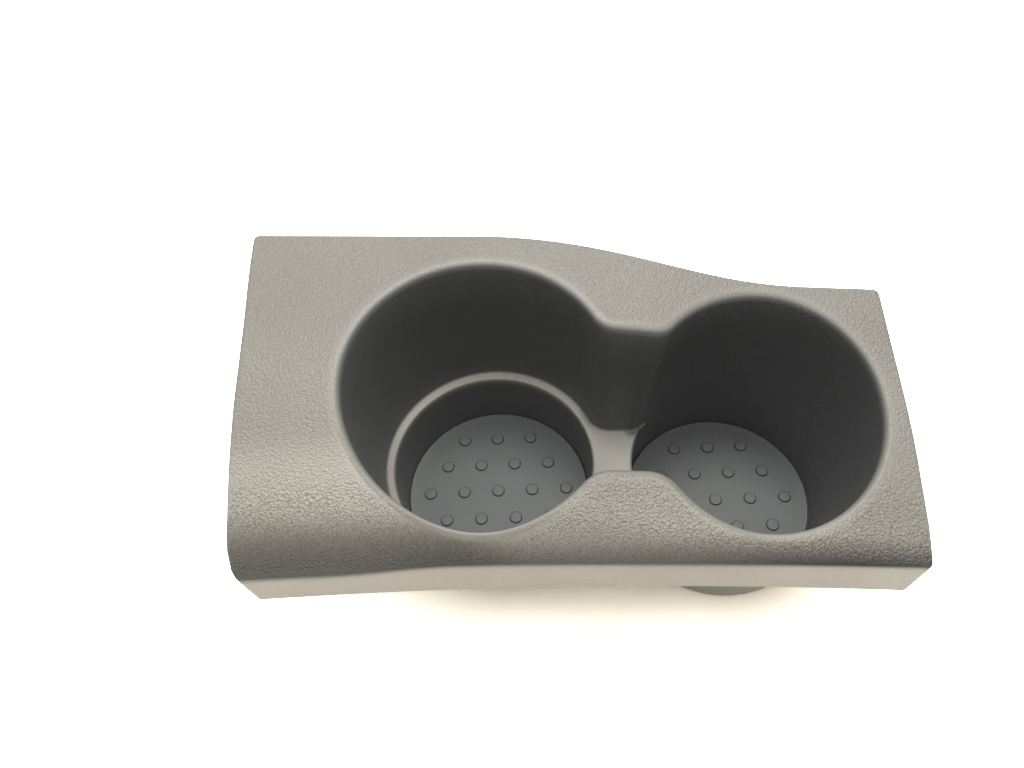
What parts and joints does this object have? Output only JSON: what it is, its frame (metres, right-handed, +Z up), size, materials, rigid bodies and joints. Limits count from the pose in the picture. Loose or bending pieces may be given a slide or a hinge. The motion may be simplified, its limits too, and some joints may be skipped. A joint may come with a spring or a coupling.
{
  "type": "car cup holder",
  "caption": "Moulded console insert with two drink wells joined by a short neck, a sloping grained top panel and a round rubber mat in each well.",
  "frame": {"origin": "middle of the part's bounding box in plan, at the level of the two foot rings it stands on", "axes": "+X along the line of the two wells, from the wider stepped well towards the plain one; +Y towards the back edge; +Z up, along the left well's axis"},
  "size_m": [0.2194, 0.1124, 0.099],
  "materials": {
    "moulding": "fine leather grain, matt",
    "mat": "smooth matt rubber with raised pips"
  },
  "bodies": {
    "root": {"cup_holder": "moulding", "left_mat": "mat", "right_mat": "mat"}
  },
  "joints": []
}
